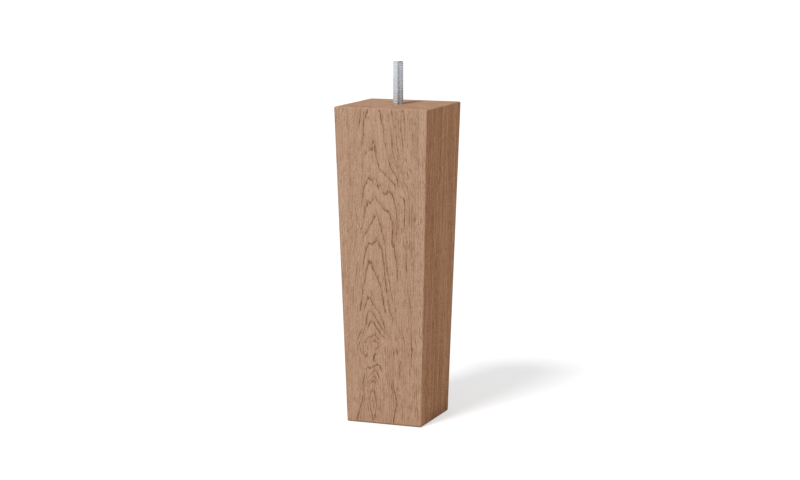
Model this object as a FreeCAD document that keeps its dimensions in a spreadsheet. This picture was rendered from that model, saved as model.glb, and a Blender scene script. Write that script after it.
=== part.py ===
"""Tapered square furniture leg: a solid oak block with a hanger bolt driven into its top.

The block is wider at the top than at the foot, and one small round softens every edge. The
hanger bolt has a machine-thread stud above the block, a plain neck just below the surface and
a wood-screw end in a stepped pilot hole. Both threads are drawn as plain cylinders: the stud
over its crests, the screw end at its root.

Frame: millimetres, +Z up, origin at the middle of the foot. The face with the arched grain
looks along -Y.
"""

import FreeCAD, Part
import Sketcher
import os

# Driving dimensions in millimetres and degrees: the sheet's aliases and their values.
SIZES = {
    "leg_height": 240,
    "top_width": 74,
    "foot_width": 60,
    "edge_round": 1.2,
    "stud_diameter": 8,
    "stud_length": 32,
    "stud_bevel": 0.8,
    "thread_pitch": 1.25,
    "neck_length": 8,
    "screw_depth": 0.9,
    "screw_length": 22,
    "point_length": 8,
    "pilot_clearance": 0.05,
    "pilot_run": 4,
    "drill_angle": 118,
    "mouth_gap": 0.25,
}

# A thread is rolled on a blank that is thinner than its crests by this share of the pitch.
BLANK_PER_PITCH = 0.6495

# The full angle of a cone whose sides slope at 45 degrees.
SHOULDER_ANGLE = 90

# Sizes that follow from the driving ones, as expressions on the sheet.
HALF_FOOT = "sizes.foot_width / 2"
HALF_TOP = "sizes.top_width / 2"
STUD_RADIUS = "sizes.stud_diameter / 2"
NECK_RADIUS = f"({STUD_RADIUS} - {BLANK_PER_PITCH} * sizes.thread_pitch / 2)"
CORE_RADIUS = f"({NECK_RADIUS} - sizes.screw_depth)"
BORE_RADIUS = f"({NECK_RADIUS} + sizes.pilot_clearance)"
PILOT_RADIUS = f"({CORE_RADIUS} + sizes.pilot_clearance)"
SHOULDER_TOP = "(sizes.point_length + sizes.screw_length)"
BOLT_DEPTH = f"({SHOULDER_TOP} + sizes.neck_length)"
BOLT_LENGTH = f"({BOLT_DEPTH} + sizes.stud_length)"

# Constraints count a curve's points up from 1, and a sketch's own axes down from -1.
START, END, CENTRE = range(1, 4)
ACROSS_AXIS, UP_AXIS = range(-1, -3, -1)
ORIGIN_POINT = (ACROSS_AXIS, START)


def make_sheet(doc):
    """The spreadsheet of driving dimensions, with one named cell each."""
    sheet = doc.addObject("Spreadsheet::Sheet", "sizes")
    for row, (alias, value) in enumerate(SIZES.items(), start=1):
        sheet.set(f"A{row}", alias)
        sheet.set(f"B{row}", str(value))
        sheet.setAlias(f"B{row}", alias)
    doc.recompute()


def bind(feature, **expressions):
    """Ties a feature's properties to expressions on the sheet."""
    for name, expression in expressions.items():
        feature.setExpression(name, expression)


def attach(feature, body, plane):
    """Lays a sketch or a primitive on one of its body's own origin planes."""
    support = next(f for f in body.Origin.OriginFeatures if f.Role == plane)
    feature.AttachmentSupport = (support, "")
    feature.MapMode = "FlatFace"


def dimension(sketch, name, expression, kind, *ends, start):
    """One named dimension of a sketch: it begins at a start value and follows the expression."""
    index = sketch.addConstraint(Sketcher.Constraint(kind, *ends, start))
    sketch.renameConstraint(index, name)
    sketch.setExpression(f"Constraints.{name}", expression)


def round_sketch(body, name, radius, lift):
    """A circle about the leg's axis, on a level plane at the height given by lift."""
    sketch = body.newObject("Sketcher::SketchObject", name)
    attach(sketch, body, "XY_Plane")
    bind(sketch, **{"AttachmentOffset.Base.z": lift})
    start = 1.0
    circle = sketch.addGeometry(Part.Circle(FreeCAD.Vector(), FreeCAD.Vector(0, 0, 1), start))
    sketch.addConstraint(Sketcher.Constraint("Coincident", circle, CENTRE, *ORIGIN_POINT))
    dimension(sketch, "radius", radius, "Radius", circle, start=start)
    return sketch


def turned_sketch(body, name, corners):
    """Half of a lengthwise section on the XZ plane, as a closed chain of straight lines.

    Each corner is a radius and a height. None puts it on the axis, or on the level of the
    origin. The corners start one step apart, and their dimensions then bring them to size.
    """
    sketch = body.newObject("Sketcher::SketchObject", name)
    attach(sketch, body, "XZ_Plane")
    starts = [
        FreeCAD.Vector(1.0 if radius else 0.0, float(step) if height else 0.0, 0)
        for step, (radius, height) in enumerate(corners)
    ]
    sketch.addGeometry([Part.LineSegment(*ends) for ends in zip(starts, starts[1:] + starts[:1])])
    for step, (radius, height) in enumerate(corners):
        corner = (step, START)
        line_before = (step - 1) % len(corners)
        sketch.addConstraint(Sketcher.Constraint("Coincident", line_before, END, *corner))
        reach = (*ORIGIN_POINT, *corner)
        if radius:
            dimension(sketch, f"radius_{step}", radius, "DistanceX", *reach, start=starts[step].x)
        else:
            sketch.addConstraint(Sketcher.Constraint("PointOnObject", *corner, UP_AXIS))
        if height:
            dimension(sketch, f"height_{step}", height, "DistanceY", *reach, start=starts[step].y)
        else:
            sketch.addConstraint(Sketcher.Constraint("PointOnObject", *corner, ACROSS_AXIS))
    return sketch


def highest_circle(shape):
    """The name of the shape's highest circular edge."""
    circles = [
        (edge.BoundBox.ZMin, f"Edge{number}")
        for number, edge in enumerate(shape.Edges, start=1)
        if not edge.Degenerated and isinstance(edge.Curve, Part.Circle)
    ]
    return max(circles)[1]


def make_leg_block(doc):
    """The oak block: a square taper with softened edges and a stepped pilot hole for the bolt."""
    body = doc.addObject("PartDesign::Body", "leg_block")

    # The wedge lies on the XZ plane, so its own Y runs up the leg and its own Z runs to the front.
    taper = body.newObject("PartDesign::AdditiveWedge", "taper")
    attach(taper, body, "XZ_Plane")
    bind(taper, Ymin="0", Ymax="sizes.leg_height")
    bind(taper, Xmin=f"-{HALF_FOOT}", Xmax=HALF_FOOT, Zmin=f"-{HALF_FOOT}", Zmax=HALF_FOOT)
    bind(taper, X2min=f"-{HALF_TOP}", X2max=HALF_TOP, Z2min=f"-{HALF_TOP}", Z2max=HALF_TOP)
    doc.recompute()

    softened = body.newObject("PartDesign::Fillet", "softened_edges")
    softened.Base = (taper, [])
    softened.UseAllEdges = True
    bind(softened, Radius="sizes.edge_round")
    doc.recompute()

    # The pilot hole steps out to the neck's bore at a cone that matches the bolt's shoulder.
    centre = round_sketch(body, "pilot_centre", PILOT_RADIUS, "sizes.leg_height")
    doc.recompute()
    pilot = body.newObject("PartDesign::Hole", "pilot_hole")
    pilot.Profile = centre
    pilot.DepthType = "Dimension"
    pilot.DrillPoint = "Angled"
    pilot.HoleCutType = "Counterdrill"
    pilot.HoleCutCountersinkAngle = SHOULDER_ANGLE
    bind(pilot, Diameter=f"2 * {PILOT_RADIUS}", Depth=f"{BOLT_DEPTH} + sizes.pilot_run")
    bind(pilot, HoleCutDiameter=f"2 * {BORE_RADIUS}", HoleCutDepth="sizes.neck_length")
    bind(pilot, DrillPointAngle="sizes.drill_angle")
    doc.recompute()

    # A small countersink keeps the hole's mouth clear of the stud's first thread.
    mouth = body.newObject("PartDesign::Chamfer", "hole_mouth")
    mouth.Base = (pilot, [highest_circle(pilot.Shape)])
    bind(mouth, Size=f"{STUD_RADIUS} + sizes.mouth_gap - {BORE_RADIUS}")
    return body


def make_hanger_bolt(doc):
    """The hanger bolt, turned in one piece: point, screw end, shoulder, neck and stud.

    Its section is drawn from the point up, and the body is set so that the stud starts level
    with the top of the leg.
    """
    body = doc.addObject("PartDesign::Body", "hanger_bolt")
    section = turned_sketch(
        body,
        "bolt_section",
        [
            (None, None),
            (CORE_RADIUS, "sizes.point_length"),
            (CORE_RADIUS, f"{SHOULDER_TOP} - sizes.screw_depth"),
            (NECK_RADIUS, SHOULDER_TOP),
            (NECK_RADIUS, BOLT_DEPTH),
            (STUD_RADIUS, BOLT_DEPTH),
            (STUD_RADIUS, f"{BOLT_LENGTH} - sizes.stud_bevel"),
            (f"{STUD_RADIUS} - sizes.stud_bevel", BOLT_LENGTH),
            (None, BOLT_LENGTH),
        ],
    )
    turned = body.newObject("PartDesign::Revolution", "turned_bolt")
    turned.Profile = section
    turned.ReferenceAxis = (section, ["V_Axis"])
    bind(body, **{".Placement.Base.z": f"sizes.leg_height - {BOLT_DEPTH}"})
    return body


def check(doc, bodies):
    """Stops the build if an object failed or a piece isn't one valid solid."""
    failed = [item.Name for item in doc.Objects if {"Invalid", "Error"} & set(item.State)]
    if failed:
        raise RuntimeError(f"these objects failed: {failed}")
    for body in bodies:
        shape = body.Shape
        if shape.isNull() or not shape.isValid() or len(shape.Solids) != 1:
            raise RuntimeError(f"{body.Label} isn't one valid solid")


def main():
    doc = FreeCAD.newDocument("tapered_leg")
    make_sheet(doc)
    bodies = [make_leg_block(doc), make_hanger_bolt(doc)]
    doc.recompute()
    check(doc, bodies)
    os.makedirs("parts", exist_ok=True)
    for body in bodies:
        body.Shape.exportStep(f"parts/{body.Label}.step")
        print(body.Label, f"{body.Shape.Volume:.1f} cubic mm", body.Shape.BoundBox)


main()
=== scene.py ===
# %% [markdown]
# # A tapered oak furniture leg with a threaded stud
# The CAD model has two solids in one frame: the oak block and the hanger bolt in its top. The
# origin is in the middle of the foot, +Z runs up the leg and the face with the arched grain looks
# along -Y. Blender adds what plain solids leave out: the grain of the oak, the real threads of
# the bolt, the light and the camera. All lengths below are in millimetres until they go into
# Blender, which counts in metres.

# %% Load the CAD model as a fixed frame
import bmesh
import bpy
import numpy as np
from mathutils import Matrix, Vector


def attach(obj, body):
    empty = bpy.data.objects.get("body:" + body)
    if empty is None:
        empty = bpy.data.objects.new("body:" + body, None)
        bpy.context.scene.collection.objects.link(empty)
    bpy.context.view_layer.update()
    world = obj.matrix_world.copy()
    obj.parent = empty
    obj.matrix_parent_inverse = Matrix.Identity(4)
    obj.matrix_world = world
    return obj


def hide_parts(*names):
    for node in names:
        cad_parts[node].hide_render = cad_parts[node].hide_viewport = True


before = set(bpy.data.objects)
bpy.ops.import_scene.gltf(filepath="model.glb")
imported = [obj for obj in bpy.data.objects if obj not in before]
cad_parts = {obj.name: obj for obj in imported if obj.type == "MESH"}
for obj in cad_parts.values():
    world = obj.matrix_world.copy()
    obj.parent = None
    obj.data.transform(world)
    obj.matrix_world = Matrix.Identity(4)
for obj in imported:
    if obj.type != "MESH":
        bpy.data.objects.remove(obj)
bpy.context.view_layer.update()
MM = 0.001
print("CAD nodes:", sorted(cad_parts))

# %% [markdown]
# ## The camera
# A photograph of straight edges is enough to find its camera: a pinhole camera was fitted to the
# corners of the block and the ends of the stud, with their real sizes known. Placing a camera by
# eye would also work, but the fitted one lets a point of the picture be cast back onto the wood
# later, when the grain is drawn. The camera turns by yaw and pitch only, so its sides stay level.

# %% Place the camera
IMAGE_WIDTH, IMAGE_HEIGHT = 800, 480
EYE = np.array([562.0, -1454.1, 383.5])
YAW, PITCH = np.radians(21.08), np.radians(9.002)
FOCAL_PIXELS = 2081.3
SENSOR_WIDTH = 36.0

towards_eye = np.array([np.sin(YAW) * np.cos(PITCH), -np.cos(YAW) * np.cos(PITCH), np.sin(PITCH)])
picture_right = np.array([np.cos(YAW), np.sin(YAW), 0.0])
picture_up = np.cross(towards_eye, picture_right)

camera_data = bpy.data.cameras.new("photo_camera")
camera_data.sensor_fit = "HORIZONTAL"
camera_data.sensor_width = SENSOR_WIDTH
camera_data.lens = FOCAL_PIXELS * SENSOR_WIDTH / IMAGE_WIDTH
camera = bpy.data.objects.new("photo_camera", camera_data)
camera.location = EYE * MM
camera.rotation_euler = Vector(-towards_eye).to_track_quat("-Z", "Y").to_euler()
bpy.context.scene.collection.objects.link(camera)
bpy.context.scene.camera = camera
print(f"lens {camera_data.lens:.1f} mm, {np.linalg.norm(EYE):.0f} mm from the foot")

# %% [markdown]
# ## Node maths as Python
# A material is a net of nodes, and formulas in it soon become hard to read. One small class
# wraps a socket, so that `1 - mask * 0.5` adds the Math nodes by itself. Every other node comes
# from its one method `node`, which takes the type, the settings and the inputs.

# %% Wrap a socket so that Python's operators add Math nodes
# A Mix node has sockets for every kind of value. These are the ones that it uses for colours.
MIX_SHARE, MIX_FIRST, MIX_SECOND = 0, 6, 7
MIX_RESULT = 2


class Wire:
    """One output of a node tree. Operators on it add a Math node and give its output."""

    def __init__(self, tree, socket=None):
        self.tree = tree
        self.socket = socket

    def node(self, kind, settings=None, inputs=None, output=0):
        """Adds any node: its settings come first, then the values or links of its sockets."""
        made = self.tree.nodes.new(kind)
        for name, value in (settings or {}).items():
            setattr(made, name, value)
        for name, value in (inputs or {}).items():
            if isinstance(value, Wire):
                self.tree.links.new(value.socket, made.inputs[name])
            else:
                made.inputs[name].default_value = value
        return Wire(self.tree, made.outputs[output] if made.outputs else None)

    def math(self, operation, *values):
        return self.node("ShaderNodeMath", {"operation": operation}, dict(enumerate(values)))

    def __add__(self, other):
        return self.math("ADD", self, other)

    def __sub__(self, other):
        return self.math("SUBTRACT", self, other)

    def __rsub__(self, other):
        return self.math("SUBTRACT", other, self)

    def __mul__(self, other):
        return self.math("MULTIPLY", self, other)

    def __truediv__(self, other):
        return self.math("DIVIDE", self, other)

    def __rtruediv__(self, other):
        return self.math("DIVIDE", other, self)

    __radd__ = __add__
    __rmul__ = __mul__

    def exp(self):
        return self.math("EXPONENT", self)

    def fraction(self):
        return self.math("FRACT", self)

    def absolute(self):
        return self.math("ABSOLUTE", self)

    def capped(self):
        """The same value, but at most 1."""
        return self.math("MINIMUM", self, 1.0)

    def step(self, low, high):
        """Smoothly from 0 below low to 1 above high."""
        ends = {"Value": self, "From Min": low, "From Max": high}
        return self.node("ShaderNodeMapRange", {"interpolation_type": "SMOOTHSTEP"}, ends)

    def blend(self, first, second, kind="MIX"):
        """A colour between two others, with this wire as the share of the second."""
        settings = {"data_type": "RGBA", "blend_type": kind}
        ends = {MIX_SHARE: self, MIX_FIRST: first, MIX_SECOND: second}
        return self.node("ShaderNodeMix", settings, ends, output=MIX_RESULT)

    def tint(self, colour, filter_colour):
        """A colour multiplied by a filter's colour, with this wire as the filter's share."""
        return self.blend(colour, filter_colour, kind="MULTIPLY")


def tree_of(owner):
    """The emptied node tree of a material or a world, as the start of its wires."""
    owner.use_nodes = True
    owner.node_tree.nodes.clear()
    return Wire(owner.node_tree)


BRIGHTEST = 255
CURVE_START, CURVE_SLOPE = 0.04045, 12.92
CURVE_SHIFT, CURVE_POWER = 0.055, 2.4


def paint(red, green, blue):
    """A colour as a picture editor shows it, from 0 to 255, as Blender's linear RGBA.

    It undoes the curve of a screen: a straight line near black and a power above it.
    """
    share = np.array([red, green, blue]) / BRIGHTEST
    power = ((share + CURVE_SHIFT) / (1 + CURVE_SHIFT)) ** CURVE_POWER
    linear = np.where(share > CURVE_START, power, share / CURVE_SLOPE)
    return (*linear.tolist(), 1.0)


print("node maths ready")

# %% [markdown]
# ## Light
# The picture has one soft key light from the front, a little to the left and high up: its
# shadow leans to the back and right, and the right side of the leg is lit only by the white
# surroundings. A sun lamp lights the floor evenly out to the horizon, and its angle sets how soft
# the shadow's edge is. The rest of the light comes from the world. The levels are chosen so that
# the front renders at about the colours that are written for it.
#
# Bright metal looks like whatever it mirrors, so in an all-white room the stud would be a white
# strip. The grey bands on the real one mirror the darker walls of a studio. Walls built as meshes
# would shade the wood too, so they are painted into the world, for reflections alone. The key
# light is kept out of the reflections, because the picture shows no bright spot on the stud.

# %% Hang the key light
KEY_DIRECTION = Vector((-0.18, -0.79, 1.0))
KEY_STRENGTH = 1.95
KEY_SOFTNESS = np.radians(12.5)

key_data = bpy.data.lights.new("key_light", "SUN")
key_data.energy = KEY_STRENGTH
key_data.angle = KEY_SOFTNESS
key = bpy.data.objects.new("key_light", key_data)
key.rotation_euler = KEY_DIRECTION.to_track_quat("Z", "Y").to_euler()
key.visible_glossy = False
bpy.context.scene.collection.objects.link(key)
print(f"key light of strength {KEY_STRENGTH}")

# %% Paint the surroundings
AMBIENT_LEVEL = 0.51
WHITE = 1.0
# Each wall: degrees to the right of the camera, half its width in degrees, and its darkness.
DARK_WALLS = [(10, 27, 0.95), (78, 36, 0.64), (136, 26, 0.92), (-140, 36, 0.25)]
WALL_EDGE = 8.0
DARKEST_WALL = 0.03
LEVEL_PART = (1, 1, 0)


def vector_math(start, operation, *values, output=0):
    """A Vector Math node, which works on whole directions."""
    return start.node("ShaderNodeVectorMath", {"operation": operation}, dict(enumerate(values)), output)


def ray_kind(start, kind):
    """1 for rays of this kind and 0 for all others."""
    return start.node("ShaderNodeLightPath", output=f"Is {kind} Ray")


def seen_directly(start):
    """1 for rays that show a surface to the eye, by sight, by reflection or through glass."""
    kinds = ray_kind(start, "Camera") + ray_kind(start, "Glossy") + ray_kind(start, "Transmission")
    return kinds.capped()


world = bpy.data.worlds.new("white_studio")
bpy.context.scene.world = world
start = tree_of(world)
direction = start.node("ShaderNodeTexCoord", output="Generated")
level_way = vector_math(start, "MULTIPLY", direction, LEVEL_PART)
level_way = vector_math(start, "NORMALIZE", level_way)
brightness = AMBIENT_LEVEL + seen_directly(start) * (WHITE - AMBIENT_LEVEL)
for bearing, half_width, darkness in DARK_WALLS:
    turn = YAW + np.radians(bearing)
    wall = (np.sin(turn), -np.cos(turn), 0.0)
    towards = vector_math(start, "DOT_PRODUCT", level_way, wall, output="Value")
    edges = np.cos(np.radians([half_width + WALL_EDGE, half_width - WALL_EDGE])).tolist()
    brightness = brightness - towards.step(*edges) * ray_kind(start, "Glossy") * darkness
brightness = brightness.math("MAXIMUM", brightness, DARKEST_WALL)
background = start.node("ShaderNodeBackground", inputs={"Strength": brightness})
start.node("ShaderNodeOutputWorld", inputs={"Surface": background})
bpy.context.scene.view_settings.view_transform = "Standard"
print(len(DARK_WALLS), "dark walls in a white studio")

# %% [markdown]
# ## The floor
# The real leg stands on a white sheet that keeps only its soft shadow. A pale floor on its own
# would look grey, so for the rays that the eye sees it adds a glow to its diffuse colour, and the
# two together make white. The shadow takes away the key light's part of it and stays visible.

# %% Lay the floor
FLOOR_REACH = 20000.0
FLOOR_COLOUR = (0.8, 0.8, 0.8, 1.0)
SEEN_FLOOR_COLOUR = (0.6, 0.6, 0.6, 1.0)
SEEN_FLOOR_GLOW = 0.545

floor_mesh = bpy.data.meshes.new("floor")
floor_corners = np.array([(-1, -1, 0), (1, -1, 0), (1, 1, 0), (-1, 1, 0)]) * FLOOR_REACH * MM
floor_mesh.from_pydata(floor_corners.tolist(), [], [(0, 1, 2, 3)])
floor = bpy.data.objects.new("floor", floor_mesh)
bpy.context.scene.collection.objects.link(floor)

floor_white = bpy.data.materials.new("floor_white")
start = tree_of(floor_white)
plain = start.node("ShaderNodeBsdfDiffuse", inputs={"Color": FLOOR_COLOUR})
matt = start.node("ShaderNodeBsdfDiffuse", inputs={"Color": SEEN_FLOOR_COLOUR})
glow = start.node("ShaderNodeEmission", inputs={"Strength": SEEN_FLOOR_GLOW})
glowing = start.node("ShaderNodeAddShader", inputs={0: matt, 1: glow})
shown = start.node("ShaderNodeMixShader", inputs={0: seen_directly(start), 1: plain, 2: glowing})
start.node("ShaderNodeOutputMaterial", inputs={"Surface": shown})
floor_mesh.materials.append(floor_white)
print("floor laid")

# %% [markdown]
# ## A mesh from a grid of points
# Both pieces are closed surfaces: a grid of points that runs round the piece in its columns and
# from one pole to the other in its rows. numpy works out the whole grid at once, and one helper
# turns it into a mesh and merges the points that meet at poles and corners.

# %% Turn a grid of points into a piece
MERGE_DISTANCE = 0.0005
SHARP_ANGLE = np.radians(35.0)


def piece_from_grid(name, points, material):
    """A closed piece from points of rows by columns, in mm, that close round the columns."""
    rows, columns = points.shape[:2]
    here = np.arange(rows * columns).reshape(rows, columns)
    beside = np.roll(here, -1, axis=1)
    quads = np.stack([here[:-1], beside[:-1], beside[1:], here[1:]], axis=-1).reshape(-1, 4)
    mesh = bpy.data.meshes.new(name)
    mesh.from_pydata((points.reshape(-1, 3) * MM).tolist(), [], quads.tolist())
    shape = bmesh.new()
    shape.from_mesh(mesh)
    bmesh.ops.remove_doubles(shape, verts=shape.verts, dist=MERGE_DISTANCE * MM)
    shape.to_mesh(mesh)
    shape.free()
    mesh.shade_smooth()
    mesh.set_sharp_from_angle(angle=SHARP_ANGLE)
    mesh.materials.append(material)
    piece = bpy.data.objects.new(name, mesh)
    bpy.context.scene.collection.objects.link(piece)
    print(name, len(mesh.vertices), "points", len(mesh.polygons), "faces")
    return piece


def set_attribute(piece, name, values):
    """Stores one number per point of a piece, for its material to read."""
    piece.data.attributes.new(name, "FLOAT", "POINT").data.foreach_set("value", values)


print("grid helpers ready")

# %% [markdown]
# ## The oak block
# The real block is sawn square, tapers evenly from top to foot and has its edges softened with
# sandpaper. A cube with a Bevel would need its taper and its hole afterwards. Here the softened
# taper is worked out directly: a smaller tapered core grown outwards by the radius of the edges.
# Every point is a point of the core plus that radius along the outward direction, so the faces
# stay flat, the edges become parts of cylinders and the corners parts of balls.

# %% Work out the columns round the block
LEG_HEIGHT = 240.0
FOOT_HALF, TOP_HALF = 30.0, 37.0
EDGE_ROUND = 1.2
SIDE_STEPS = {"front": 92, "right": 44, "back": 44, "left": 44}
ARC_STEPS = 5
SLOPE = (TOP_HALF - FOOT_HALF) / LEG_HEIGHT
QUARTER_TURN = np.pi / 2
# Rounding removes the tiny errors of sine and cosine, so that the faces are exactly flat.
CLEAN_DIGITS = 9


def square_columns():
    """Corners and outward angles round a unit square, starting at the left end of the front.

    On a side, the point runs from corner to corner and the outward angle stays. On a corner,
    the point stays and the angle turns by a quarter.
    """
    points, angles = [], []
    for number, steps in enumerate(SIDE_STEPS.values()):
        facing = (number - 1) * QUARTER_TURN
        out = np.array([np.cos(facing), np.sin(facing)])
        along = np.array([-out[1], out[0]])
        run = np.linspace(-1, 1, steps)[:, None]
        turn = np.linspace(0, QUARTER_TURN, ARC_STEPS + 2)[1:-1]
        points += [out + run * along, np.repeat([out + along], ARC_STEPS, axis=0)]
        angles += [np.full(steps, facing), facing + turn]
    return np.concatenate(points).round(CLEAN_DIGITS), np.concatenate(angles)


corner_points, outward_angles = square_columns()
print(len(outward_angles), "columns round the block")

# %% Work out the rows and shape the block
MOUTH_RADIUS, BORE_RADIUS, PILOT_RADIUS = 4.25, 3.644, 2.744
NECK_DEPTH, PILOT_DEPTH = 8.0, 42.0
DRILL_SLOPE = np.tan(np.radians(31.0))
RIM_STEPS = 7
FOOT_ROWS, SIDE_ROWS, TOP_ROWS = 10, 160, 16
FIRST_CORNER = -1.5 * QUARTER_TURN


def softened_sides():
    """Foot rim, sides and top rim: core point plus the edge radius along the outward direction.

    The direction tilts from straight down at the foot, through the slope of the sides, which
    is steeper along the four corners, to straight up at the top.
    """
    flat_out = np.stack([np.cos(outward_angles), np.sin(outward_angles)], axis=1)
    side_tilt = -np.arctan(SLOPE * np.abs(flat_out).sum(axis=1))
    share = np.linspace(0, 1, RIM_STEPS)[:, None]
    every_row = np.ones((SIDE_ROWS, 1))
    low, high = EDGE_ROUND, LEG_HEIGHT - EDGE_ROUND
    tilt = np.concatenate([
        -QUARTER_TURN + share * (side_tilt + QUARTER_TURN),
        every_row * side_tilt,
        side_tilt + share * (QUARTER_TURN - side_tilt),
    ])
    heights = np.concatenate([
        np.full(RIM_STEPS, low),
        np.linspace(low, high, SIDE_ROWS + 2)[1:-1],
        np.full(RIM_STEPS, high),
    ])
    core = FOOT_HALF + SLOPE * heights - EDGE_ROUND * np.hypot(1, SLOPE)
    across = core[:, None, None] * corner_points + EDGE_ROUND * np.cos(tilt)[..., None] * flat_out
    upward = heights[:, None] + EDGE_ROUND * np.sin(tilt)
    return np.concatenate([across, upward[..., None]], axis=2)


def rings_between(first, last, rows):
    """Rows of points in equal steps from one row towards another, without the two ends."""
    share = np.linspace(0, 1, rows + 2)[1:-1, None, None]
    return first + share * (last - first)


def pilot_hole():
    """Circles from the countersunk mouth down the bore, the shoulder and the pilot to its tip.

    They start at the block's first corner, so that the top between them and the rim isn't twisted.
    """
    turn = FIRST_CORNER + np.linspace(0, 2 * np.pi, len(outward_angles), endpoint=False)
    shoulder = NECK_DEPTH + BORE_RADIUS - PILOT_RADIUS
    tip = PILOT_DEPTH + PILOT_RADIUS * DRILL_SLOPE
    steps = np.array([
        (MOUTH_RADIUS, 0.0),
        (BORE_RADIUS, MOUTH_RADIUS - BORE_RADIUS),
        (BORE_RADIUS, NECK_DEPTH),
        (PILOT_RADIUS, shoulder),
        (PILOT_RADIUS, PILOT_DEPTH),
        (0.0, tip),
    ])
    radius, depth = steps[:, 0, None], steps[:, 1, None]
    height = LEG_HEIGHT - depth * np.ones_like(turn)
    return np.stack([radius * np.cos(turn), radius * np.sin(turn), height], axis=2)


def oak_block_points():
    """The whole block from the middle of the foot, up the sides and down the pilot hole."""
    sides, hole = softened_sides(), pilot_hole()
    foot = np.concatenate([np.zeros_like(sides[:1]), rings_between(0 * sides[0], sides[0], FOOT_ROWS)])
    top = rings_between(sides[-1], hole[0], TOP_ROWS)
    return np.concatenate([foot, sides, top, hole])


oak = bpy.data.materials.new("brown_oak")
oak_leg = piece_from_grid("oak_leg", oak_block_points(), oak)
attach(oak_leg, "root")
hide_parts("leg_block")

# %% [markdown]
# ## The growth rings
# The arched grain on the front is a cut through growth rings: the tree's pith ran in front of
# this face, near it at the foot and further out at the top, so the saw met one ring after another.
# Concentric rings round that pith give the arches by themselves, and the same rings carry on over
# the edges to the sides, the top and the foot. The height of each arch's tip fixes how far away
# the pith was. What no formula gives is the wander of each single ring, so the main ring lines
# are drawn as a few picture points each, cast back through the camera onto the face, and a
# smooth correction bends the rings until they pass through those points. Two lines of strength 0
# can't be seen: they hold the rings in place on both sides of the small bold mark between them.

# %% Draw the arches
RING_WIDTH = 1.6
# The line through the arches' tips, as rows and columns of the picture, and the ring of each tip.
CENTRE_LINE = [
    (428, 373.2), (345, 373.5), (300, 372.5), (250, 374), (225, 375.5),
    (200, 378), (185, 377), (165, 371.5), (150, 371), (100, 374.5),
]
ARCH_TIPS = [
    (428, 1.6), (418.6, 1), (405, 0), (389.3, 1), (381.3, 2), (376.6, 3), (372, 4), (365.5, 5),
    (357, 5.7), (349, 5), (345, 4.6), (340.8, 5), (335.4, 6), (321.8, 7), (311.5, 8), (298.2, 9),
    (260.6, 10), (241.5, 11), (217, 12), (199.8, 13), (178.6, 14), (141.9, 15), (98, 16),
]
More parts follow.
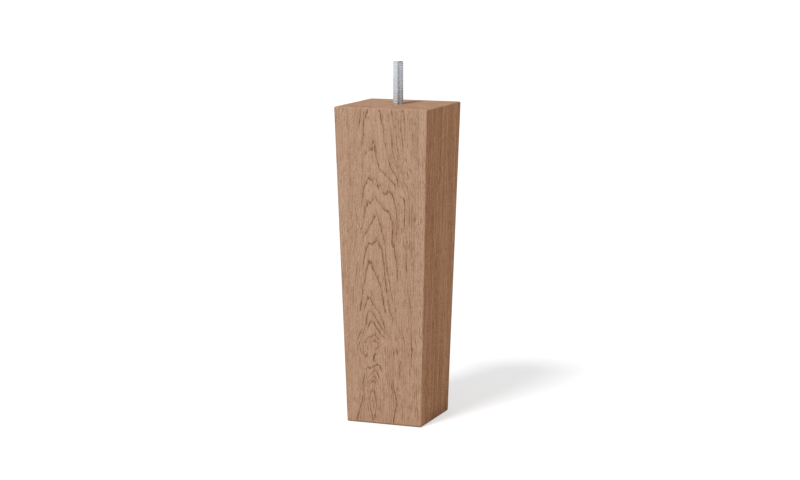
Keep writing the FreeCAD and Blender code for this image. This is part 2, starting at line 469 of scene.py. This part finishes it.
# Each line: the number of its ring, how strongly it shows, and its points as columns and rows.
RING_LINES = [
    (16, 0.9, [(369.7, 108.7), (367.6, 114), (364.3, 122), (364, 134), (362.5, 144)]),
    (16, 1.0, [(379.4, 112), (380.5, 122), (383, 130), (383.6, 140), (386, 151.5), (389.5, 167.5),
               (393.3, 173.2), (396.4, 178), (397.3, 185.3)]),
    (15, 0.8, [(366.4, 154.3), (370, 151.4), (372.3, 146.6), (373.5, 141.9), (374.7, 153),
               (377.9, 167.7), (380, 173.2), (383.6, 173), (388, 179.2), (394.2, 185.3)]),
    (14, 1.0, [(361.8, 206.5), (363.9, 188.3), (369.4, 178.6), (373.3, 184.7), (376.4, 184.7),
               (378.2, 190), (384.8, 195.6), (387, 192.9), (390.3, 192), (393.9, 201), (396.4, 213),
               (396.3, 240)]),
    (13, 0.9, [(362.7, 227.7), (366.7, 205.3), (367.5, 201), (371.2, 204.7), (374.5, 199.8),
               (381.2, 205.9), (384.2, 210.2), (388.5, 212.3), (391.8, 222.9), (391.5, 240),
               (394.5, 252.7), (396.7, 267.3), (397, 279.4)]),
    (12, 1.0, [(364.8, 235), (368.8, 230), (372, 223.5), (375.8, 217), (380.3, 226.5), (382.7, 236.2)]),
    (12, 0.65, [(383.3, 239.5), (385.2, 251), (386.7, 270), (389.7, 286), (392, 299.4), (395.2, 310.3)]),
    (11, 1.0, [(363.3, 268.5), (364.2, 261), (366.7, 248.5), (368.8, 244.2), (372.4, 245.5),
               (375.5, 241.5), (378.2, 244.2), (381.5, 251), (383.3, 263), (384.8, 281),
               (386.7, 297), (388.5, 308), (392.4, 320)]),
    (10, 1.0, [(360.9, 308.5), (363.6, 289.7), (367, 271.5), (369.4, 260.6), (372.7, 269),
               (376.4, 277), (380.6, 288), (382.4, 300.6), (384.5, 312)]),
    (9, 1.0, [(365.2, 306.7), (369, 298.2), (372, 303.3), (373.9, 307.3), (378.8, 313.3),
              (382.4, 322.4), (388.2, 337.7)]),
    (8, 1.0, [(366.4, 324.2), (367.9, 314), (369.7, 311.5), (373, 314), (378.8, 325.5), (385.5, 334)]),
    (7, 0.9, [(369.7, 324.8), (372.1, 321.8), (374.8, 325.5), (377, 329.7), (381.5, 336.4)]),
    (6, 0.9, [(366, 341.4), (367.5, 338.4), (371.5, 337), (374.2, 335.4), (377.5, 338.5)]),
    (5, 0.9, [(371.8, 344.8), (374.8, 340.8), (377.8, 344.8), (376.5, 348.5)]),
    (5, 1.2, [(366.5, 369.5), (371.8, 368), (376.2, 365.5), (379.5, 366), (380.8, 370)]),
    (4, 0.9, [(370.5, 375.5), (373.5, 372.8), (376.2, 372), (378.5, 378)]),
    (3, 0.9, [(369.5, 380.6), (373.5, 376.6), (375.5, 378.6)]),
    (2, 0.9, [(370, 384), (372.8, 381.3), (374.7, 383)]),
    (1, 1.0, [(373.2, 418), (370.3, 405), (370.8, 395.3), (372.5, 389.3), (375.5, 398), (376.3, 405),
              (373.8, 418)]),
    (6, 1.5, [(357.7, 418.8), (360.8, 407.4), (363.4, 396), (363.6, 382), (365.1, 374.6)]),
    (11, 1.9, [(392.6, 380), (393, 388), (395.2, 396), (395.6, 407), (394.4, 413), (393, 421)]),
    (5, 1.1, [(382.2, 380), (383.6, 391), (383.9, 399)]),
    (17, 0.9, [(390.3, 130), (391.3, 140.7), (392.2, 152.6), (394.9, 162.6), (398.2, 175)]),
    (20, 0.9, [(400.6, 167), (403.6, 183.5), (406.7, 187.7), (409.1, 198.6), (409.7, 215), (409.4, 222.3)]),
    (18, 0.8, [(399.4, 196.8), (403.6, 200.5), (404.6, 215), (402.7, 230.8)]),
    (21, 0.8, [(411.5, 205), (411.5, 257)]),
    (22, 0.6, [(413.7, 215), (413.6, 270)]),
    (20, 0.8, [(406.7, 290.3), (409.7, 303), (410.8, 314)]),
    (9, 0.7, [(356.7, 341.7), (362.1, 330.4)]),
    (8, 0.7, [(357.7, 350.5), (361.4, 338.4), (366, 327)]),
    (13, 0.7, [(358.2, 261), (356.4, 279)]),
    (16, 0.7, [(400.8, 328), (402.5, 336), (403.5, 340), (404.5, 347)]),
    (17, 0.7, [(361.5, 108), (360.4, 115), (360.4, 118), (359.6, 126)]),
    (19, 0.7, [(394.3, 111), (395.3, 121), (395.5, 131), (396.4, 147), (398.5, 155), (399.5, 161)]),
    (21, 0.6, [(400.3, 117), (400.3, 132), (401.6, 141), (403.8, 152)]),
    (22, 0.5, [(403.3, 112), (403.4, 123), (405.2, 153)]),
    (23, 0.5, [(407.4, 116), (407.3, 138)]),
    (25, 0.5, [(410.3, 125), (412.4, 136), (413.6, 157)]),
    (27, 0.4, [(418.3, 111), (417.3, 133), (416.5, 152)]),
    (22, 0.6, [(405.4, 171), (408.4, 178)]),
    (16, 0.6, [(398.3, 204), (399.5, 213)]),
    (20, 0.5, [(409, 232), (409, 242), (409.5, 250)]),
    (19, 0.6, [(405.5, 256), (405.7, 265), (405.8, 277)]),
    (15, 0.5, [(356.5, 216), (357, 229), (356.5, 238), (355.3, 247)]),
    (18, 0.4, [(343.3, 272), (343.5, 287)]),
    (13, 0.4, [(354, 290), (353.5, 300)]),
    (20, 0.8, [(410.6, 312), (410.7, 330), (410.9, 350), (410.8, 366)]),
    (23, 0.4, [(416.5, 322), (417, 335)]),
    (15, 0.6, [(401.3, 346), (401.3, 358), (402.4, 374), (403.3, 384)]),
    (14, 0.5, [(399.6, 366), (399.5, 378)]),
    (8, 0.7, [(385.2, 362), (385.5, 370), (386.6, 378)]),
    (9, 0.6, [(390.4, 391), (391.5, 399)]),
    (6, 1.8, [(374, 353.8), (373.4, 357.5), (372.6, 360.8)]),
    (5.6, 0.0, [(371.6, 353.8), (370.9, 357.5), (370, 360.8)]),
    (6.4, 0.0, [(376.4, 353.8), (375.9, 357.5), (375.2, 360.8)]),
    (6, 0.6, [(368.3, 351), (368.6, 355)]),
    (9, 0.7, [(387.6, 353), (387.5, 360), (387.5, 366)]),
    (10, 0.5, [(389.5, 351), (389.5, 357)]),
    (7, 0.5, [(382.4, 354), (382.5, 358.5)]),
    (10, 0.5, [(390.5, 365), (390.6, 371)]),
    (12, 0.5, [(394.5, 365.5), (394.6, 369.5)]),
    (14, 0.5, [(398.5, 360), (398.5, 368)]),
    (3, 0.6, [(380.4, 401), (380.5, 408), (380.6, 417)]),
    (8, 0.6, [(385.3, 349), (385.3, 354)]),
    (13, 1.3, [(396.5, 350.2), (396.7, 354)]),
    (12, 0.6, [(393, 352), (393.8, 360)]),
    (13, 0.6, [(395.5, 370.5), (395.7, 375)]),
    (19, 0.6, [(408.5, 353), (408.6, 365)]),
    (22, 0.5, [(416.5, 369), (416.5, 377)]),
    (22, 0.5, [(416.4, 386), (416.4, 406)]),
    (8, 0.7, [(388.4, 392), (388.6, 396)]),
    (9, 0.6, [(389.2, 380), (389.4, 384)]),
    (13, 0.7, [(399.4, 395), (399.4, 409)]),
    (15, 0.6, [(402.4, 400), (402.4, 409), (402, 419)]),
    (16, 0.6, [(404.6, 402), (404.5, 407)]),
    (19, 0.7, [(410.4, 406.5), (410.7, 412)]),
    (5, 0.7, [(383.4, 410.5), (383.6, 418)]),
    (22, 0.6, [(417.5, 410), (417.5, 416)]),
    (2, 0.7, [(378, 415.5), (378.3, 419)]),
    (6, 0.9, [(367.4, 343), (367.4, 347.5)]),
    (6, 0.8, [(363.4, 348.5), (363.5, 351), (364.6, 354.5)]),
    (8, 0.6, [(360.5, 361.5), (360.5, 366)]),
    (10, 0.6, [(354.5, 350), (354.4, 358)]),
    (12, 0.5, [(352.5, 347), (352.4, 353)]),
    (5, 0.5, [(361.4, 413), (361, 418.5)]),
]


def onto_front(picture_points):
    """Picture points cast through the camera onto the front face, as x and z in mm."""
    across, down = np.array(picture_points, dtype=float).T[..., None]
    rays = picture_right * (across - IMAGE_WIDTH / 2) - picture_up * (down - IMAGE_HEIGHT / 2)
    rays = rays - towards_eye * FOCAL_PIXELS
    face = np.array([0.0, -1.0, -SLOPE])
    reach = (FOOT_HALF - EYE @ face) / (rays @ face)
    return (EYE + rays * reach[:, None])[:, [0, 2]]


line_rows, line_places = np.array(CENTRE_LINE).T
tip_rows, tip_rings = np.array(ARCH_TIPS).T
tip_places = np.interp(tip_rows, line_rows[::-1], line_places[::-1])
centre_x, centre_z = onto_front(np.stack([line_places, line_rows], axis=1)).T
tip_z = onto_front(np.stack([tip_places, tip_rows], axis=1))[:, 1]
print(len(RING_LINES), "ring lines drawn")

# %% Bend the rings through the drawn lines
LINE_STEP = 1.5
BEND_ACROSS, BEND_ALONG = 2.2, 5.0
BEND_SLACK = 0.02
STEADY_TIPS = (3.0, 9.0)
UNREST_DEPTH = 20.0


def bell(distance, width):
    """A bell curve: 1 at no distance, and e to the power of minus the square of distance by width."""
    return np.exp(-((distance / width) ** 2))


def plain_rings(x, z, depth):
    """Ring number at a point: its distance from the pith, counted in ring widths.

    The pith lies in front of the face. Its distance there is the ring number of the arch's
    tip at the same height, times the ring width. Deeper in the wood the tips' unrest fades,
    and the distance grows evenly up the leg, which makes tall arches on the back.
    """
    steady = np.interp(z, (0, LEG_HEIGHT), STEADY_TIPS)
    unrest = np.interp(z, tip_z, tip_rings) - steady
    to_pith = depth + RING_WIDTH * (steady + unrest * bell(depth, UNREST_DEPTH))
    return np.hypot(x - np.interp(z, centre_z, centre_x), to_pith) / RING_WIDTH


def evenly_along(line):
    """Points in even steps along a drawn line, on the face in mm."""
    corners = onto_front(line)
    run = np.concatenate([[0], np.cumsum(np.hypot(*np.diff(corners, axis=0).T))])
    steps = np.linspace(0, run[-1], 2 + int(run[-1] / LINE_STEP))
    return np.stack([np.interp(steps, run, side) for side in corners.T], axis=1)


def closeness(places, knots):
    """How strongly each knot bends the rings at each place: a bell that is longer along the leg."""
    gaps = (places[:, None] - knots) / (BEND_ACROSS, BEND_ALONG)
    return np.exp(-(gaps**2).sum(axis=2) / 2)


drawn = [evenly_along(line) for ring, strength, line in RING_LINES]
knots = np.concatenate(drawn)
lengths = [len(line) for line in drawn]
wanted, knot_strengths = np.repeat([line[:2] for line in RING_LINES], lengths, axis=0).T
missing = wanted - plain_rings(*knots.T, depth=0.0)
bends = np.linalg.solve(closeness(knots, knots) + BEND_SLACK * np.eye(len(knots)), missing)
print(f"{len(knots)} points bend the rings by up to {np.abs(missing).max():.1f} ring widths")

# %% Number the rings at every point of the block
BEND_DEPTH = 8.0
PACE_STEP = 0.4
# Points are worked on in parts to save memory, and only as deep as a bell curve counts.
PART_SIZE = 4000
BELL_END = 2.0


def depth_behind_front(spots):
    """How deep points lie behind the sloping front face, in mm."""
    return np.maximum(spots[:, 1] + FOOT_HALF + SLOPE * spots[:, 2], 0)


def parts_near_front(depth, reach):
    """The numbers of the points whose depth is within a bell's reach, in parts."""
    near = np.flatnonzero(depth < BELL_END * reach)
    return np.array_split(near, 1 + len(near) // PART_SIZE)


def ring_numbers(spots):
    """Plain ring number plus the bend of the drawn lines, which fades out with the depth."""
    depth = depth_behind_front(spots)
    rings = plain_rings(spots[:, 0], spots[:, 2], depth)
    for part in parts_near_front(depth, BEND_DEPTH):
        bend = closeness(spots[part][:, [0, 2]], knots) @ bends
        rings[part] += bend * bell(depth[part], BEND_DEPTH)
    return rings


def ring_pace(spots, outward):
    """Rings per mm along the surface: the slope of the ring number without its part inwards."""
    steps = np.eye(3) * PACE_STEP
    slope = [ring_numbers(spots + step) - ring_numbers(spots - step) for step in steps]
    slope = np.stack(slope, axis=1) / (2 * PACE_STEP)
    inwards = (slope * outward).sum(axis=1, keepdims=True)
    return np.linalg.norm(slope - inwards * outward, axis=1)


def read_points(values, name):
    """One vector per point, read from a mesh's points or its normals in one go."""
    flat = np.empty(len(values) * 3)
    values.foreach_get(name, flat)
    return flat.reshape(-1, 3)


spots = read_points(oak_leg.data.vertices, "co") / MM
rings = ring_numbers(spots)
set_attribute(oak_leg, "ring", rings)
print(f"rings {rings.min():.1f} to {rings.max():.1f} on {len(spots)} points")

# %% Note how thick and how bold the line is at every point
LINE_WIDTH = 1.15
THINNEST_LINE, THICKEST_LINE = 0.085, 0.36
BOLD_SHARE = 0.75
SHORTEST_REACH, LONGEST_REACH = 1.0, 1.8
BOLD_DEPTH = 2.5
FRONT_OUTWARD = np.array([0.0, -1.0, -SLOPE]) / np.hypot(1, SLOPE)


def near_drawn_line(spots):
    """The strength of the nearest drawn line, fading to 0 away from it and into the wood.

    It fades within about half a ring, so that lines close together stay apart.
    """
    on_face = np.stack([knots[:, 0], -FOOT_HALF - SLOPE * knots[:, 1], knots[:, 1]], axis=1)
    pace = ring_pace(on_face, FRONT_OUTWARD)
    reach = np.clip(BOLD_SHARE / pace, SHORTEST_REACH, LONGEST_REACH)
    depth = depth_behind_front(spots)
    bold = np.zeros(len(spots))
    for part in parts_near_front(depth, BOLD_DEPTH):
        gaps = np.linalg.norm(spots[part][:, None, [0, 2]] - knots, axis=2)
        nearest = (bell(gaps, reach) * knot_strengths).max(axis=1)
        bold[part] = nearest * bell(depth[part], BOLD_DEPTH)
    return bold


outward = read_points(oak_leg.data.vertex_normals, "vector")
thickness = np.clip(LINE_WIDTH * ring_pace(spots, outward), THINNEST_LINE, THICKEST_LINE)
boldness = near_drawn_line(spots)
set_attribute(oak_leg, "line_thickness", thickness)
set_attribute(oak_leg, "bold", boldness)
print(f"lines {thickness.min():.2f} to {thickness.max():.2f} rings thick, bold up to {boldness.max():.1f}")

# %% [markdown]
# ## The oak finish
# Brown-toned oak under a matt lacquer: pale wood, a thin dark line where each ring starts, which
# fades outwards, and long open pores that show as short dark dashes. A picture of wood would be
# quicker to lay on, but it repeats, and it breaks off at the edges. Here the rings come from the
# piece's own attributes. Everything else is noise stretched along the leg, which makes streaks and
# dashes on the faces and small dots on the end grain, as cut fibres do.

# %% Tell the faces of the block apart
FACE_EDGE = (0.5, 0.9)
MIDDLE_REACH = 15.0


def part_of(vector, axis):
    """One number of a vector: its X, Y or Z."""
    return vector.node("ShaderNodeSeparateXYZ", inputs={0: vector}, output=axis)


start = tree_of(oak)
place = start.node("ShaderNodeTexCoord", output="Object")
height_up = part_of(place, "Z") / MM
right_half = (part_of(place, "X") / MM).step(-MIDDLE_REACH, MIDDLE_REACH)
facing = start.node("ShaderNodeNewGeometry", output="Normal")
on_side = part_of(facing, "X").absolute().step(*FACE_EDGE)
on_back = part_of(facing, "Y").step(*FACE_EDGE)
on_end = part_of(facing, "Z").absolute().step(*FACE_EDGE)
print("sides, back and end grain told apart")

# %% Stretch noise along the leg
DEPTH_STRETCH = 2.5
NOISE_MIDDLE = 0.5


def stretched_noise(start, width, length, depth=None, detail=2.0, seed=0.0):
    """Noise between 0 and 1 in streaks of about these sizes in mm, with the length up the leg."""
    sizes = np.array([width, depth or width * DEPTH_STRETCH, length]) * MM
    place = start.node("ShaderNodeTexCoord", output="Object")
    mapping = {"Vector": place, "Scale": (1 / sizes).tolist(), "Location": (seed, seed, seed)}
    spot = start.node("ShaderNodeMapping", inputs=mapping)
    return start.node("ShaderNodeTexNoise", inputs={"Vector": spot, "Scale": 1.0, "Detail": detail})


def swing(start, reach, **streak):
    """Stretched noise that swings about 0, by half of the reach to each side."""
    return (stretched_noise(start, **streak) - NOISE_MIDDLE) * reach


def attribute(start, name):
    """A number that the piece stores for each of its points."""
    return start.node("ShaderNodeAttribute", {"attribute_name": name}, output="Fac")


print("noise helpers ready")

# %% [markdown]
# ### Ring lines
# A ring starts with a row of large pores, dark at once and then fading. The fraction of the ring's
# number tells how far a point is past that row, and falling exponentials of it make the dark core
# and a soft shade behind it. Noise lets the rings wander, though least along the drawn lines, so
# that those stay in place. Where rings lie close together the soft shade is left out, or the lines
# would run into one. Where the saw cut a ring at a shallow angle, its line is wider and less broken.

# %% Find the place and the darkness of the ring lines
SETTLED_SHARE = 0.9
CLOSE_RINGS = (0.2, THICKEST_LINE)
SHALLOW_CUT = (THINNEST_LINE, 0.19)
CORE_DARKNESS, CORE_FADE = 0.8, 1.0
SHADE_DARKNESS, SHADE_FADE = 0.25, 0.3

bold = attribute(start, "bold")
settled = bold.capped() * SETTLED_SHARE
slow_wander = swing(start, reach=0.5, width=3.0, length=30.0)
broad_wander = swing(start, reach=0.8, width=12.0, length=110.0, seed=3.0)
jagged = swing(start, reach=0.28, width=0.9, length=8.0, detail=1.0, seed=5.0)
wander = (slow_wander + broad_wander) * (1 - settled) + jagged
inside_ring = (attribute(start, "ring") + wander).fraction()
line_thickness = attribute(start, "line_thickness")
past_line = inside_ring / line_thickness
close_rings = line_thickness.step(*CLOSE_RINGS)
shallow_cut = 1 - line_thickness.step(*SHALLOW_CUT)
core = (past_line * -CORE_FADE).exp() * CORE_DARKNESS
soft_shade = (past_line * -SHADE_FADE).exp() * (1 - close_rings) * SHADE_DARKNESS
print("ring lines placed")

# %% Set how strongly the lines show and break them up
FAINT_AT_FOOT, FAINT_LOSS_UP, FAINT_GAIN_BACK = 0.36, 0.14, 0.35
DRAWN, DRAWN_GAIN_CLOSE, DRAWN_GAIN_SHALLOW = 0.77, 0.65, 0.22
SIDE_LOSS, END_LOSS = 0.5, 0.6
GAP_EDGE, GAP_DEPTH, SHALLOW_FILL = (0.35, 0.62), 0.6, 0.4
FULL_LINE = 1.05
UNEVEN_EDGE, LEAST_EVEN, UNEVEN_GAIN = (0.3, 0.7), 0.65, 0.5

faint = FAINT_AT_FOOT - height_up * (FAINT_LOSS_UP / LEG_HEIGHT) + on_back * FAINT_GAIN_BACK
drawn_strength = DRAWN + close_rings * DRAWN_GAIN_CLOSE + shallow_cut * DRAWN_GAIN_SHALLOW
strength = faint + bold * (drawn_strength - faint)
strength = strength * (1 - on_side * SIDE_LOSS) * (1 - on_end * END_LOSS)
line = (core + soft_shade) * strength
dashes = stretched_noise(start, width=0.7, length=6.0, detail=1.0, seed=7.0)
gaps = (1 - dashes.step(*GAP_EDGE)) * (GAP_DEPTH - shallow_cut * SHALLOW_FILL)
uneven = stretched_noise(start, width=4.0, length=11.0, detail=1.0, seed=61.0)
broken_line = line * (FULL_LINE - gaps) * (LEAST_EVEN + uneven.step(*UNEVEN_EDGE) * UNEVEN_GAIN)
print("ring lines broken up")

# %% [markdown]
# ### Pores and fibres
# Between the lines, oak shows fine pores and fibres. Where rings lie close together the pores run
# along the rings, so their noise reads the ring's number instead of the place across the leg. The
# fibres are streaks of several sizes. On the tapered sides the saw cuts across straight fibres at a
# slant, which would chop narrow streaks into blots, so the sides have streaks of their own, wide
# across the leg and narrow in its depth.

# %% Open the pores
PORE_WIDTH, PORE_LENGTH = 0.8, 9.0
RING_PORE_EDGE, RING_PORE_PULL = (0.6, 0.7), 0.06
PORES_LEFT, PORES_GAIN_RIGHT = 0.6, 0.5
LINE_PORE_EDGE, LINE_PORE_PULL = (0.6, 0.74), 0.22

along_rings = attribute(start, "ring") * (RING_WIDTH / PORE_WIDTH)
pore_spot = start.node("ShaderNodeCombineXYZ", inputs={0: along_rings, 2: height_up / PORE_LENGTH})
ring_pores = start.node("ShaderNodeTexNoise", inputs={"Vector": pore_spot, "Scale": 1.0, "Detail": 1.0})
ring_pores = (ring_pores + line * RING_PORE_PULL).step(*RING_PORE_EDGE)
pores = ring_pores * close_rings * (1 - on_end) * (PORES_LEFT + right_half * PORES_GAIN_RIGHT)
line_pores = stretched_noise(start, width=0.5, length=4.5, detail=1.0, seed=11.0)
side_pores = stretched_noise(start, width=2.0, length=7.0, depth=0.6, detail=1.0, seed=13.0)
line_pores = line_pores + (side_pores - line_pores) * on_side
pores = pores + (line_pores + line * LINE_PORE_PULL).step(*LINE_PORE_EDGE) * (1 - pores)
print("pores opened")

# %% Lay the fibres
DOTS = {"width": 0.5, "length": 1.1, "detail": 0.0, "seed": 47.0}
LESS_ON_SIDE = 0.7
# Painted light: the tone at the foot, and how much lighter the wood grows towards the top.
TONE_AT_FOOT, PAINTED_LIGHT_GAIN_UP = 0.45, 0.1

fibres = swing(start, reach=1.0, width=0.55, length=55.0, seed=17.0)
threads = swing(start, reach=0.6, width=0.5, length=9.0, detail=1.0, seed=31.0)
dots = swing(start, reach=0.9, **DOTS)
broad = swing(start, reach=0.5, width=7.0, length=160.0, seed=23.0)
flat_grain = fibres + threads + dots + broad
side_streaks = swing(start, reach=2.6, width=8.0, length=110.0, depth=1.6, seed=37.0)
side_threads = swing(start, reach=1.8, width=4.0, length=14.0, depth=0.6, detail=1.0, seed=43.0)
side_bands = swing(start, reach=1.4, width=24.0, length=180.0, depth=7.0, seed=71.0)
side_dots = swing(start, reach=1.0, **DOTS)
side_grain = side_streaks + side_threads + side_bands + side_dots
end_streaks = swing(start, reach=1.4, width=30.0, length=30.0, depth=4.0, seed=53.0)
# Painted light: the wood grows a little lighter up the leg, as the light on the front does.
tone = TONE_AT_FOOT + height_up * (PAINTED_LIGHT_GAIN_UP / LEG_HEIGHT) + flat_grain
tone = tone + (side_grain - flat_grain * LESS_ON_SIDE) * on_side + end_streaks * on_end
tone = tone.step(0.0, 1.0)
print("fibres laid")

# %% [markdown]
# ### Colour and lacquer
# The fibres choose between a light and a middle brown, and lines and pores darken it. The sides
# and the back are warmer and darker than the front: partly the other cut of the wood, partly
# painted shade. The end grain is a little greyer. A rim of painted shade just above the floor
# stands for the close shadow at the foot. The lacquer is matt, and the open pores lie a little deeper and
# are rougher.

# %% Mix the oak's colours
LIGHT_OAK, MIDDLE_OAK, DARK_OAK = paint(203, 169, 144), paint(173, 135, 107), paint(122, 82, 55)
# Partly painted shade: the sides and the back are darker and warmer, partly for the other cut of the wood.
SIDE_CUT_AND_SHADE_OAK = (0.98, 0.82, 0.68, 1.0)
END_OAK = (0.975, 0.94, 0.92, 1.0)
# Painted shade: the heights in mm over which a dark rim just above the floor fades out.
FOOT_SHADE_SPAN = (0.4, 1.8)
LINE_DARKNESS, PORE_DARKNESS, FOOT_SHADE_DARKNESS = 0.95, 0.46, 0.45
TONE_RELIEF, BUMP_STRENGTH, BUMP_DEPTH = 0.3, 0.1, 0.2
LACQUER_ROUGHNESS, PORE_ROUGHNESS = 0.55, 0.25
LACQUER_SHINE = 0.0

# Painted shade: a thin dark rim just above the floor, for the close shadow at the foot.
foot_painted_shade = 1 - height_up.step(*FOOT_SHADE_SPAN)
shade = broken_line * LINE_DARKNESS + pores * PORE_DARKNESS + foot_painted_shade * FOOT_SHADE_DARKNESS
shade = shade.capped()
colour = tone.blend(MIDDLE_OAK, LIGHT_OAK)
colour = shade.blend(colour, DARK_OAK)
# Partly painted shade: the sides and the back take the warmer, darker colour, partly for the other cut of
# the wood.
colour = (on_side + on_back).tint(colour, SIDE_CUT_AND_SHADE_OAK)
colour = on_end.tint(colour, END_OAK)
relief = {"Strength": BUMP_STRENGTH, "Distance": BUMP_DEPTH * MM, "Height": tone * TONE_RELIEF - shade}
finish = start.node(
    "ShaderNodeBsdfPrincipled",
    inputs={
        "Base Color": colour,
        "Roughness": LACQUER_ROUGHNESS + shade * PORE_ROUGHNESS,
        "Specular IOR Level": LACQUER_SHINE,
        "Normal": start.node("ShaderNodeBump", inputs=relief),
    },
)
start.node("ShaderNodeOutputMaterial", inputs={"Surface": finish})
print("oak made of", len(oak.node_tree.nodes), "nodes")

# %% [markdown]
# ## The hanger bolt
# A hanger bolt has a machine thread at one end and a wood-screw thread at the other, both rolled
# on one steel rod. A thread could be a profile spun with the Screw modifier, but its ends would
# stop dead. Here the bolt is a radius for every angle and height, so each thread fades in and
# out as a real one does, and the tip bevel simply cuts it off. Powers of a cosine make the stud's
# crests broad and its grooves narrow, and the wood screw's ridges thin and far apart. The stud's
# thread runs down into the mouth of the pilot hole, so that no plain neck shows above the wood.

# %% Shape the bolt
POINT_HEIGHT, NECK_TOP, BOLT_TOP = 202.0, 240.0, 272.0
POINT_LENGTH = 8.0
NECK_RADIUS, CORE_RADIUS = 3.594, 2.694
SHOULDER_FOOT, SHOULDER_TOP = 231.1, 232.0
SCREW_PITCH, SCREW_DEPTH, SCREW_SHARPNESS = 3.0, 0.85, 4
SCREW_FADE_IN, SCREW_FADE_OUT = (POINT_HEIGHT, POINT_HEIGHT + 6.0), (226.0, 230.0)
THREAD_RADIUS, THREAD_PITCH, THREAD_DEPTH = 3.99, 1.25, 0.4
GROOVE_SHARPNESS = 1.7
THREAD_START, STUD_ROWS_START, THREAD_FULL = NECK_TOP - 0.6, NECK_TOP - 0.4, NECK_TOP - 0.2
TIP_BEVEL = 0.8
# Rings that close the flat tip, as shares of its radius.
TIP_RINGS = (0.92, 0.5, 0.0)
BOLT_COLUMNS = 56
STUD_STEP, SCREW_STEP = 0.1, 0.2


def thread_ridge(height, turn, pitch):
    """1 on the crest and 0 in the root of a right-hand thread: a cosine that climbs as it turns."""
    return (1 + np.cos(2 * np.pi * height / pitch - turn)) / 2


def fade(values, low, high):
    """From 0 below low to 1 above high in a straight line."""
    return np.clip((values - low) / (high - low), 0, 1)


def bolt_points():
    """Radius over angle and height: rod, both threads with faded ends, bevel and point."""
    heights = np.concatenate([
        np.arange(POINT_HEIGHT, SHOULDER_TOP, SCREW_STEP),
        [SHOULDER_TOP, THREAD_START],
        np.arange(STUD_ROWS_START, BOLT_TOP, STUD_STEP),
        [BOLT_TOP],
    ])[:, None]
    turn = np.linspace(0, 2 * np.pi, BOLT_COLUMNS, endpoint=False)
    rod = CORE_RADIUS + (NECK_RADIUS - CORE_RADIUS) * fade(heights, SHOULDER_FOOT, SHOULDER_TOP)
    rod = rod * fade(heights, POINT_HEIGHT, POINT_HEIGHT + POINT_LENGTH)
    screw = thread_ridge(heights, turn, SCREW_PITCH) ** SCREW_SHARPNESS * SCREW_DEPTH
    screw = screw * fade(heights, *SCREW_FADE_IN) * (1 - fade(heights, *SCREW_FADE_OUT))
    groove = 1 - thread_ridge(heights, turn, THREAD_PITCH)
    stud = THREAD_RADIUS - THREAD_DEPTH * groove**GROOVE_SHARPNESS
    on_stud = fade(heights, THREAD_START, THREAD_FULL)
    radius = (rod + screw) * (1 - on_stud) + stud * on_stud
    radius = np.minimum(radius, THREAD_RADIUS - TIP_BEVEL + (BOLT_TOP - heights))
    radius = np.concatenate([radius, radius[-1:] * np.array(TIP_RINGS)[:, None]])
    levels = np.append(heights, np.full(len(TIP_RINGS), BOLT_TOP))[:, None] * np.ones_like(turn)
    return np.stack([radius * np.cos(turn), radius * np.sin(turn), levels], axis=2)


zinc = bpy.data.materials.new("bright_zinc")
hanger_bolt = piece_from_grid("threaded_bolt", bolt_points(), zinc)
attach(hanger_bolt, "root")
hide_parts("hanger_bolt")

# %% [markdown]
# ## The zinc finish
# Bright zinc plating is a thin bluish-grey metal skin, a little cloudy. It could be a grey with a
# shine on it, but a metal's base colour is the colour of its reflections, so here that colour is
# pale and the grey comes from the dark walls. Faint clouds in the colour and in the roughness keep
# the skin from looking like chrome.

# %% Make the zinc
ZINC_PALE, ZINC_DULL = paint(242, 247, 254), paint(235, 240, 247)
CLOUD_EDGE = (0.3, 0.7)
ZINC_ROUGHNESS, CLOUD_ROUGHNESS = 0.25, 0.1
ALL_METAL = 1.0

start = tree_of(zinc)
clouds = stretched_noise(start, width=1.6, length=2.4, detail=3.0, seed=41.0)
finish = start.node(
    "ShaderNodeBsdfPrincipled",
    inputs={
        "Base Color": clouds.step(*CLOUD_EDGE).blend(ZINC_DULL, ZINC_PALE),
        "Metallic": ALL_METAL,
        "Roughness": ZINC_ROUGHNESS + clouds * CLOUD_ROUGHNESS,
    },
)
start.node("ShaderNodeOutputMaterial", inputs={"Surface": finish})
print("zinc made of", len(zinc.node_tree.nodes), "nodes")
